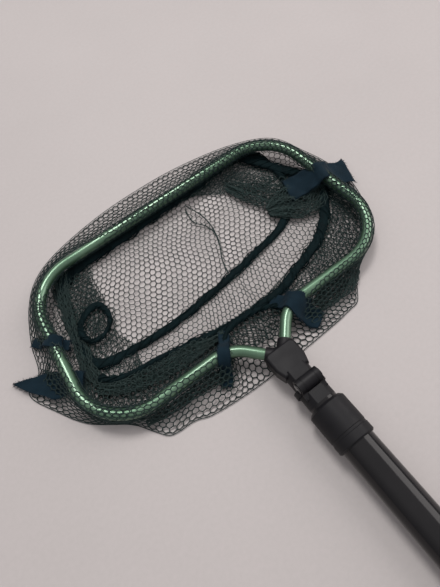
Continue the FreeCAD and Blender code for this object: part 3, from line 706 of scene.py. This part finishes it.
def hex_patch(polygon, height, seed, turn=0.0, cell=PITCH, wander=1.6):
    """Strand ends and nodes of a flat patch of netting clipped to an outline."""
    polygon = np.asarray(polygon, float)
    low_x, low_y = polygon.min(axis=0) - cell
    high_x, high_y = polygon.max(axis=0) + cell
    centre = (polygon.min(axis=0) + polygon.max(axis=0)) / 2
    size = math.hypot(high_x - low_x, high_y - low_y)
    row = cell * math.sqrt(3) / 2
    columns, rows = int(2 * size / cell), int(size / row)
    k, j = np.meshgrid(np.arange(columns), np.arange(rows))
    low = (j + k) % 2 == 0
    x = (k - columns / 2) * cell / 2
    y = (j - rows / 2) * row + np.where(low, 0, row / 3)
    x, y = (centre[0] + x * math.cos(turn) - y * math.sin(turn),
            centre[1] + x * math.sin(turn) + y * math.cos(turn))
    x, y = x + wander * waves(x, y, seed, 60), y + wander * waves(x, y, seed + 1, 70)
    jitter = 0.12 * rng.standard_normal((x.size, 3))
    points = np.c_[x.ravel(), y.ravel(), height(x, y).ravel()] + jitter
    points[:, 2] = np.maximum(points[:, 2], FLOOR + STRAND_R)
    keep = inside(points, polygon).reshape(rows, columns)
    return lattice(points.reshape(rows, columns, 3), low, keep)


def threads(paths, height):
    """Strand ends along thin creases in a panel."""
    starts, ends = [], []
    for path in paths:
        p = smooth_open(path, 70)
        p = np.c_[p, height(p[:, 0], p[:, 1]) + 0.4]
        for offset in (0.0, 0.45):
            q = p + [offset, offset * 0.5, 0.1]
            q[:, :2] += 0.12 * rng.standard_normal((len(q), 2))
            starts.append(q[:-1])
            ends.append(q[1:])
    return np.vstack(starts), np.vstack(ends)


def hex_base():
    """Bottom panel's netting with its crease."""
    starts, ends, nodes = hex_patch(seam, base_height, 11)
    crease_starts, crease_ends = threads(CREASES, base_height)
    return np.vstack([starts, crease_starts]), np.vstack([ends, crease_ends]), nodes


# bunches of slack netting: outline, height over the table, layers
BUNCHES = [
    ([(64, 155), (67, 130), (77, 106), (100, 100), (119, 112), (117, 120), (100, 140), (80, 164)], 4.0, 2),
    ([(-136, 150), (-118, 160), (-108, 140), (-112, 100), (-120, 60), (-132, 50), (-136, 100)], 3.0, 1),
    ([(-82, 158), (-84, 134), (-80, 112), (-88, 90), (-112, 84), (-120, 112), (-114, 150), (-102, 166)],
     3.5, 1),
    ([(-82, 158), (-84, 134), (-88, 124), (-112, 122), (-112, 150), (-102, 166)], 4.5, 1),
    ([(-22, 42), (-60, 47), (-97, 52), (-112, 57), (-122, 66), (-130, 60), (-122, 38), (-96, 25), (-30, 27)],
     7.0, 1),
    ([(60, 30), (96, 56), (124, 74), (134, 96), (136, 60), (120, 34)], 5.0, 1),
]

# pleated gathers: course, widths along it, height over the table, layers
GATHERS = [
    ([(-22, 36), (-48, 38), (-72, 41), (-92, 44), (-112, 50), (-124, 60)], (6, 12, 18, 17, 12, 8), 4.5, 3),
    ([(-97, 172), (-105, 158), (-111, 140), (-116, 122), (-117, 108), (-119, 95), (-122, 80), (-121, 62)],
     (9, 11, 10, 9, 10, 12, 12, 8), 3.5, 3),
    ([(77, 104), (90, 101), (104, 97), (114, 96), (126, 101), (136, 104)], (10, 26, 38, 42, 26, 14), 4.5, 4),
    ([(50, 8), (66, 10), (82, 10), (95, 15)], (12, 18, 18, 8), 4.0, 3),
    ([(67, 152), (78, 134), (90, 120), (106, 112)], (10, 22, 26, 20), 4.0, 2),
    ([(120, 108), (136, 100), (148, 96)], (20, 18, 20), 7.0, 3),
    ([(-108, 14), (-84, 12), (-58, 12), (-38, 8)], (5, 8, 10, 10), 4.5, 2),
]


COURSE_POINTS = 200


def joined(parts):
    """Strand ends and nodes of several parts as one."""
    return tuple(np.vstack([part[k] for part in parts]) for k in range(3))


def gather_strands():
    """Netting drawn together along a course: cells keep their length but are squeezed across it."""
    parts = []
    index = np.arange(COURSE_POINTS)
    for number, (course, widths, height, layers) in enumerate(GATHERS):
        line_xy = smooth_open(course, COURSE_POINTS)
        length = np.linalg.norm(np.diff(line_xy, axis=0), axis=1).sum()
        tangent = np.gradient(line_xy, axis=0)
        tangent /= np.linalg.norm(tangent, axis=1, keepdims=True)
        for layer in range(layers):
            columns = max(8, int(length / PITCH * 2.2))
            width = stretched(widths, columns)
            rows = 5 + int(max(widths) / 2.6)
            k, j = np.meshgrid(np.arange(columns), np.arange(rows))
            low = (j + k) % 2 == 0
            along = np.clip((k + 0.3 * rng.standard_normal(k.shape)) / (columns - 1), 0, 1) * index[-1]
            share = (j + np.where(low, 0.0, 0.34)) / rows - 0.5
            share = share + 0.05 * waves(k * 2.5, j * 4.0, 90 + number * 5 + layer, 20)
            offset = share * width[k] + 0.3 * rng.standard_normal(k.shape)
            middle = np.stack([np.interp(along, index, line_xy[:, axis]) for axis in range(2)], axis=-1)
            side = np.stack([-np.interp(along, index, tangent[:, 1]),
                             np.interp(along, index, tangent[:, 0])], axis=-1)
            xy = middle + side * offset[..., None]
            pleat = np.sin(share * 17 + k * 0.4 + layer) * (1 - 2 * np.abs(share))
            z = FLOOR + height + 0.9 * layer + 1.2 * pleat
            points = np.concatenate([xy, np.maximum(z, FLOOR + STRAND_R)[..., None]], axis=-1)
            parts.append(lattice(points, low, np.ones(low.shape, bool)))
    return joined(parts)


def bunch_strands():
    """Netting of all the bunches, each layer turned and stretched its own way."""
    parts = []
    for number, (outline, height, layers) in enumerate(BUNCHES):
        outline = smooth_closed(outline, 8)
        for layer in range(layers):
            seed = 60 + 7 * number + layer

            def lift(x, y, seed=seed, base=height + 1.1 * layer):
                return FLOOR + base + 1.0 * waves(x, y, seed, 22)

            turn = rng.uniform(-0.12, 0.12)
            cell = PITCH * rng.uniform(0.93, 1.02)
            parts.append(hex_patch(outline, lift, seed, turn, cell, 2.4))
    return joined(parts)


def casing():
    """Second turn of netting sewn round the hoop where the bag covers it."""
    columns = int(netted_length / PITCH * 1.8)
    angles = np.radians(np.arange(-100, 216, 34.0))
    rows = len(angles)
    k, j = np.meshgrid(np.arange(columns), np.arange(rows))
    low = (j + k) % 2 == 0
    at = (k + 0.25 * waves(k * 1.0, j * 9.0, 50, 30)) / columns * netted_length
    angle = angles[j] + np.where(low, 0.0, math.radians(12)) + 0.05 * rng.standard_normal(k.shape)
    place_on_line = np.clip(at / netted_length, 0, 1) * (len(netted) - 1)
    index = np.arange(len(netted))
    xy = np.stack([np.interp(place_on_line, index, netted[:, axis]) for axis in range(2)], axis=-1)
    ahead = np.clip(place_on_line + 2, 0, len(netted) - 1)
    behind = np.clip(place_on_line - 2, 0, len(netted) - 1)
    tangent = np.stack([np.interp(ahead, index, netted[:, axis]) - np.interp(behind, index, netted[:, axis])
                        for axis in range(2)], axis=-1)
    tangent /= np.linalg.norm(tangent, axis=-1, keepdims=True)
    radius = TUBE_R + 0.95
    out = np.stack([tangent[..., 1], -tangent[..., 0]], axis=-1)
    points = np.concatenate([xy + out * (radius * np.cos(angle))[..., None],
                             (radius * np.sin(angle))[..., None]], axis=-1)
    t = at / (netted_length + gap_length)
    cover = np.interp(t, *zip(*COVER))
    keep = np.sin(angle) < -0.15 + 1.2 * np.clip((cover - 0.3) / 0.5, 0, 1)
    return lattice(points, low, keep)


def beads(points, radius):
    """Small octahedra that close the meeting strands at each node."""
    unit = np.array([(1, 0, 0), (0, 1, 0), (-1, 0, 0), (0, -1, 0), (0, 0, 1), (0, 0, -1)], float)
    tris = np.array([(0, 1, 4), (1, 2, 4), (2, 3, 4), (3, 0, 4), (1, 0, 5), (2, 1, 5), (3, 2, 5), (0, 3, 5)])
    verts = (points[:, None] + unit[None] * radius).reshape(-1, 3)
    faces = (tris[None] + (np.arange(len(points)) * 6)[:, None, None]).reshape(-1, 3)
    return verts, faces


def netting_object(name, starts, ends, nodes):
    """Netting of strands and nodes that rides on the head."""
    verts, quads = strands(starts, ends, STRAND_R * rng.uniform(0.85, 1.2, len(starts)))
    bead_verts, tris = beads(nodes, STRAND_R * BEAD_SHARE)
    faces = np.vstack([quads[:, [0, 1, 2]], quads[:, [0, 2, 3]], tris + len(verts)])
    obj = make_object(name, place(np.vstack([verts, bead_verts])), faces, netting, "head")
    return obj


starts, ends, nodes = hex_wall()
mid = (starts + ends) / 2
SIDE_X = 98  # where the side sections of the wall start
sections = [
    ("net_wall_left", -math.inf, -SIDE_X), ("net_wall_mid_left", -SIDE_X, 0),
    ("net_wall_mid_right", 0, SIDE_X), ("net_wall_right", SIDE_X, math.inf),
]
wall_objects = []
for name, low_x, high_x in sections:
    here, nodes_here = ((low_x <= p[:, 0]) & (p[:, 0] < high_x) for p in (mid, nodes))
    wall_objects.append(netting_object(name, starts[here], ends[here], nodes[nodes_here]))
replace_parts(wall_objects[0], "net_wall")
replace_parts(netting_object("net_casing", *casing()), "net_hem")
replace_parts(netting_object("net_bottom", *hex_base()), "net_base")
netting_object("net_bunches", *bunch_strands())
netting_object("net_gathers", *gather_strands())


# ---- bunched seams
TWISTS = 9  # strands twisted round a seam
TWIST_R = 0.42


def seam_cord(name, path, width, height, closed=False):
    """Bunched netting seam: an irregular flattened core with twisted strands round it."""
    n = len(path)
    s = np.arange(n)
    wobble = 1 + 0.10 * np.sin(s * 0.9 + 1) * np.sin(s * 0.23) + 0.06 * rng.standard_normal(n)
    verts, faces = tube_mesh(path, width / 2 * wobble, height / 2 * wobble, 10, closed)
    tangent = np.gradient(path, axis=0)
    tangent /= np.linalg.norm(tangent, axis=1, keepdims=True)
    side = np.cross(tangent, [0, 0, 1.0])
    side /= np.linalg.norm(side, axis=1, keepdims=True)
    all_verts, all_faces, count = [verts], [faces], len(verts)
    for number, phase in enumerate(np.arange(TWISTS) * 2 * math.pi / TWISTS):
        angle = phase + s * (0.12 + 0.03 * number) + 0.7 * np.sin(s * 0.17 + phase)
        reach = 1.0 + 0.35 * np.sin(s * 0.21 + 2 * phase)
        around = path + side * (np.cos(angle) * width * 0.5 * reach)[:, None]
        around[:, 2] += np.sin(angle) * height * 0.5 * reach
        v, f = tube_mesh(around, TWIST_R, TWIST_R, 5)
        all_verts.append(v)
        all_faces.append(f + count)
        count += len(v)
    verts = np.vstack(all_verts)
    verts[:, 2] = np.maximum(verts[:, 2], FLOOR + 0.1)
    # the seam's colour is darker than the netting's: painted shade inside the bunch
    obj = make_object(name, place(verts), np.vstack(all_faces), bunched_net_with_painted_shade, "head")
    return obj


def lifted(path, height, seed):
    """Path laid at a height over the table, wandering a little."""
    x, y = np.asarray(path, float).T
    z = FLOOR + height + 0.6 * waves(x, y, seed, 40)
    return np.c_[x + 0.5 * waves(x, y, seed + 1, 40), y + 0.5 * waves(x, y, seed + 2, 40), z]


seam_course = resample(smooth_closed(SEAM), 320, closed=True)
far_side = np.clip((seam_course[:, 1] - 150) / 14, 0, 1)
left_side = np.clip((-seam_course[:, 0] - 92) / 12, 0, 1)
bottom_cord = seam_cord("seam_bottom", lifted(seam_course, 3.0, 20),
                        6.2 + 5.0 * far_side + 2.0 * left_side, 3.4 + 1.2 * far_side, closed=True)
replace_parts(bottom_cord, "seam_inner")
OUTER_SEAM = [
    (-119, 66), (-111, 58), (-97, 54.5), (-82, 51.5), (-68, 50), (-46, 46), (-23, 39.5), (-2, 37.3),
    (20, 37.5), (40, 38.5), (67, 46.5), (92, 55.5), (110, 68), (123, 83), (133, 97), (131, 111), (122, 126),
    (112, 143), (103, 160), (98, 172),
]
side_course = smooth_open(OUTER_SEAM, 260)
side_width = np.interp(side_course[:, 0], [-119, -97, -40, 40, 100, 135], [6.0, 4.0, 4.6, 6.6, 8.4, 8.8])
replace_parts(seam_cord("seam_side", lifted(side_course, 5.0, 30), side_width, 3.8), "seam_outer")
CURL = [
    (-109, 116), (-101, 122), (-93, 124.5), (-87.5, 121), (-85.5, 112), (-86.5, 105), (-92, 98.5),
    (-101, 94.5), (-110, 97), (-112.5, 107),
]
curl_path = lifted(resample(smooth_closed(CURL), 90, closed=True), 6.0, 26)
curl_width = 4.2 + 1.3 * np.sin(np.linspace(0, 2 * math.pi, len(curl_path)) + 0.6)
seam_cord("seam_curl", curl_path, curl_width, 2.6, closed=True)
seam_cord("rim_cord", np.c_[gap, np.full(GAP_POINTS, GAP_Z)], 3.4, 2.6)


# ---- binding tapes
TAPE_POINTS = 46
TAPE_THICKNESS = 0.5
TAPE_GAP = 1.3  # middle of a tape over the tube's surface
FRINGE_ROUNDS = 3
HAIR_R = 0.11
HAIR_LENGTHS = (0.4, 1.8)


def ribbon(name, path, across, width):
    """Creased, frayed strip of woven tape along a path; across is the way its width lies."""
    path = np.asarray(path, float)
    n, cols = len(path), 17
    seed = len(name) * 7
    tangent = np.gradient(path, axis=0)
    tangent /= np.linalg.norm(tangent, axis=1, keepdims=True)
    across = np.asarray(across, float) / np.linalg.norm(across, axis=1, keepdims=True)
    up = np.cross(across, tangent)
    up /= np.linalg.norm(up, axis=1, keepdims=True)
    w = np.linspace(-0.5, 0.5, cols)
    s = np.arange(n)[:, None]
    flat = np.asarray(width)[:, None] * w[None]
    ragged = 1 + 0.10 * waves(s * 1.0, w[None] * 40, seed, 14) * np.abs(2 * w[None]) ** 3
    ripple = 0.9 * waves(s * 1.0, flat, seed + 1, 11) * (0.3 + np.abs(w[None]) * 1.4)
    middle = path[:, None] + across[:, None] * (flat * ragged)[..., None] + up[:, None] * ripple[..., None]
    top = middle + up[:, None] * TAPE_THICKNESS / 2
    bottom = middle - up[:, None] * TAPE_THICKNESS / 2
    verts = np.concatenate([top.reshape(-1, 3), bottom.reshape(-1, 3)])
    m = n * cols
    i, k = np.meshgrid(np.arange(n - 1), np.arange(cols - 1), indexing="ij")
    a = (i * cols + k).ravel()
    quads = np.stack([a, a + 1, a + cols + 1, a + cols], axis=1)
    faces = [quads, quads[:, ::-1] + m]
    for k in (0, cols - 1):
        a = np.arange(n - 1) * cols + k
        edge = np.stack([a, a + cols, a + cols + m, a + m], axis=1)
        faces.append(edge if k == 0 else edge[:, ::-1])
    for i in (0, n - 1):
        a = i * cols + np.arange(cols - 1)
        end = np.stack([a, a + m, a + 1 + m, a + 1], axis=1)
        faces.append(end if i == 0 else end[:, ::-1])
    verts[:, 2] = np.maximum(verts[:, 2], FLOOR + 0.2)
    fringe_a, fringe_b = [], []
    for edge_points in (top[:, 0], top[:, -1], top[0], top[-1]):
        inward = middle[n // 2, cols // 2] - edge_points
        inward /= np.linalg.norm(inward, axis=1, keepdims=True)
        for _ in range(FRINGE_ROUNDS):
            here = edge_points + 0.3 * rng.standard_normal(edge_points.shape)
            fringe_a.append(here)
            fringe_b.append(here - inward * rng.uniform(*HAIR_LENGTHS, (len(here), 1))
                            + 0.5 * rng.standard_normal(here.shape))
    hair, hair_faces = strands(np.vstack(fringe_a), np.vstack(fringe_b), HAIR_R)
    hair[:, 2] = np.maximum(hair[:, 2], FLOOR + 0.1)
    faces = np.vstack(faces + [hair_faces + len(verts)])
    obj = make_object(name, place(np.vstack([verts, hair])), faces, tape_cloth, "head")
    return obj


def tape_over(name, node, inner, outer, crossing, widths, heights):
    """Tape from a point inside the bag, over the hoop tube at the crossing, to a point outside."""
    inner, outer, crossing = (np.array(p, float) for p in (inner, outer, crossing))
    r = TUBE_R + TAPE_GAP
    into = (crossing - inner) / np.linalg.norm(crossing - inner)
    out = (outer - crossing) / np.linalg.norm(outer - crossing)
    control = [
        (*inner, heights[0]),
        (*(inner * 0.55 + crossing * 0.45), heights[0] * 0.55 + heights[1] * 0.1),
        (*(crossing - into * r * 1.25), 0.5),
        (*(crossing - into * r * 0.72), r * 0.72),
        (*crossing, r),
        (*(crossing + out * r * 0.72), r * 0.72),
        (*(crossing + out * r * 1.4), 0.0),
        (*(crossing * 0.45 + outer * 0.55), heights[1] * 0.75),
        (*outer, heights[1]),
    ]
    path = smooth_open(control, TAPE_POINTS)
    heading = np.gradient(path[:, :2], axis=0)
    heading /= np.maximum(np.linalg.norm(heading, axis=1, keepdims=True), 1e-9)
    across = np.c_[-heading[:, 1], heading[:, 0], np.zeros(len(path))]
    across = (across + np.roll(across, 1, axis=0) + np.roll(across, -1, axis=0)) / 3
    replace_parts(ribbon(name, path, across, stretched(widths, len(path))), node)


def tape_under(name, node, course, widths):
    """Loose end of a tape that comes out from below the hoop."""
    path = smooth_open(course, TAPE_POINTS)
    heading = np.gradient(path[:, :2], axis=0)
    across = np.c_[-heading[:, 1], heading[:, 0], np.zeros(len(path))]
    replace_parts(ribbon(name, path, across, stretched(widths, len(path))), node)


tape_over("tape_left_of_yoke", "tape_yoke_left", (-21, 37), (-45, 0), (-33, 18.6), (8, 8.5, 9, 9), (-8, -11))
tape_over("tape_right_of_yoke", "tape_yoke_right", (25, 35), (44, -3), (34, 18.5), (9, 14, 21, 14), (-9, -11))
tape_over("tape_left_side", "tape_side_left", (-125, 105), (-148.5, 128), (-133.8, 110.5),
          (9, 9, 9, 9), (-8, -10))
tape_over("tape_right_side", "tape_side_right", (104, 110.5), (160, 92), (134.0, 100.6),
          (24, 24, 17, 21, 30), (-7.5, -8))
tape_under("tape_left_corner", "tape_corner_left",
           [(-131, 71, -7.4), (-140, 77, -7.6), (-152, 85, -8.5), (-176, 105, -11)], (17, 20, 21, 18, 10, 2))


# ---- the hinge's spring
SPRING_WIRE_R = 0.22
SPRING_PITCH = 1.3


def spring_coil():
    """Coil behind the hinge button, built at one length; on the real net it shortens towards the cap as the
    button goes in.
    """
    low, high = (np.array(corner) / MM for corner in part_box("hinge_spring"))
    radius = (high[2] - low[2]) / 2 - SPRING_WIRE_R
    along = np.linspace(low[0] + SPRING_WIRE_R, high[0] - SPRING_WIRE_R, 160)
    angle = 2 * math.pi * (along - along[0]) / SPRING_PITCH
    upright = np.stack([radius * np.cos(angle), radius * np.sin(angle), along], axis=1)
    verts, faces = tube_mesh(upright, SPRING_WIRE_R, SPRING_WIRE_R, 8)
    verts = verts[:, [2, 0, 1]] + [0.0, (low[1] + high[1]) / 2, (low[2] + high[2]) / 2]
    coil = make_object("spring_coil", verts * MM, faces, steel, "inner")
    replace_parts(coil, "hinge_spring")
    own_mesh(coil)


spring_coil()


# ---- table, light and camera
TABLE_SIZE = 6.0  # metres
TABLE_GAP = 0.02  # table below the lowest point of the bag
ROOM_STRENGTH = 0.72
table_top = textured("table_top", (0.412, 0.379, 0.370), (0.453, 0.416, 0.408), (0.5, 0.6),
                     grain=300, wear=4, bump=0.02)
bpy.ops.mesh.primitive_plane_add(size=TABLE_SIZE, location=(0, 0.5, (FLOOR - TABLE_GAP) * MM))
table = bpy.context.object
table.name = "table"
table.data.materials.append(table_top)

world = bpy.data.worlds.new("soft_room")
scene.world = world
world.use_nodes = True
sky = world.node_tree
direction = sky.nodes.new("ShaderNodeTexCoord")
split = sky.nodes.new("ShaderNodeSeparateXYZ")
sky.links.new(direction.outputs["Generated"], split.inputs[0])
height_share = sky.nodes.new("ShaderNodeMapRange")
height_share.inputs["From Min"].default_value = -0.1
sky.links.new(split.outputs["Z"], height_share.inputs["Value"])
tone = ramp(sky, height_share.outputs["Result"], [(0.0, (0.30, 0.31, 0.32)), (0.45, (0.62, 0.61, 0.63)),
                                                   (0.85, (1.0, 0.985, 1.0))])
sky.links.new(tone.outputs[0], sky.nodes["Background"].inputs["Color"])
sky.nodes["Background"].inputs["Strength"].default_value = ROOM_STRENGTH


def area_light(name, location, target, size, power, colour):
    """Square light that faces a target; metres and watts."""
    data = bpy.data.lights.new(name, "AREA")
    data.energy, data.size, data.color = power, size, colour
    light = bpy.data.objects.new(name, data)
    light.location = location
    light.rotation_mode = "QUATERNION"
    light.rotation_quaternion = (Vector(target) - Vector(location)).to_track_quat("-Z", "Y")
    scene.collection.objects.link(light)


middle = Vector((0, 0.5, 0))
area_light("window", (0.45, 1.85, 2.9), middle, size=0.95, power=52, colour=(1.0, 0.98, 0.96))
area_light("wall_glow", (2.2, 0.2, 1.5), middle, size=1.8, power=29, colour=(1.0, 0.95, 0.93))

CAM_AZIMUTH = math.radians(-23.76)
CAM_ELEVATION = math.radians(62.08)
CAM_ROLL = math.radians(-14.0)
CAM_DISTANCE = 381.3
CAM_TARGET = place([(-5.5, 61.5, 0.0)])[0]
SENSOR = 36.0
FOCAL_SHARE = 480.0 / 587.0  # focal length as a share of the picture's long side
camera_data = bpy.data.cameras.new("camera")
camera_data.sensor_width = SENSOR
camera_data.lens = SENSOR * FOCAL_SHARE
camera = bpy.data.objects.new("camera", camera_data)
back = Vector((math.sin(CAM_AZIMUTH) * math.cos(CAM_ELEVATION),
               -math.cos(CAM_AZIMUTH) * math.cos(CAM_ELEVATION), math.sin(CAM_ELEVATION)))
right = (-back).cross(Vector((0, 0, 1))).normalized()
up = right.cross(-back)
tilted_right = right * math.cos(CAM_ROLL) + up * math.sin(CAM_ROLL)
tilted_up = up * math.cos(CAM_ROLL) - right * math.sin(CAM_ROLL)
rotation = Matrix((tilted_right, tilted_up, back)).transposed()
camera.matrix_world = Matrix.Translation(Vector(CAM_TARGET) + back * CAM_DISTANCE * MM) @ rotation.to_4x4()
scene.collection.objects.link(camera)
scene.camera = camera
scene.view_settings.view_transform = "Standard"
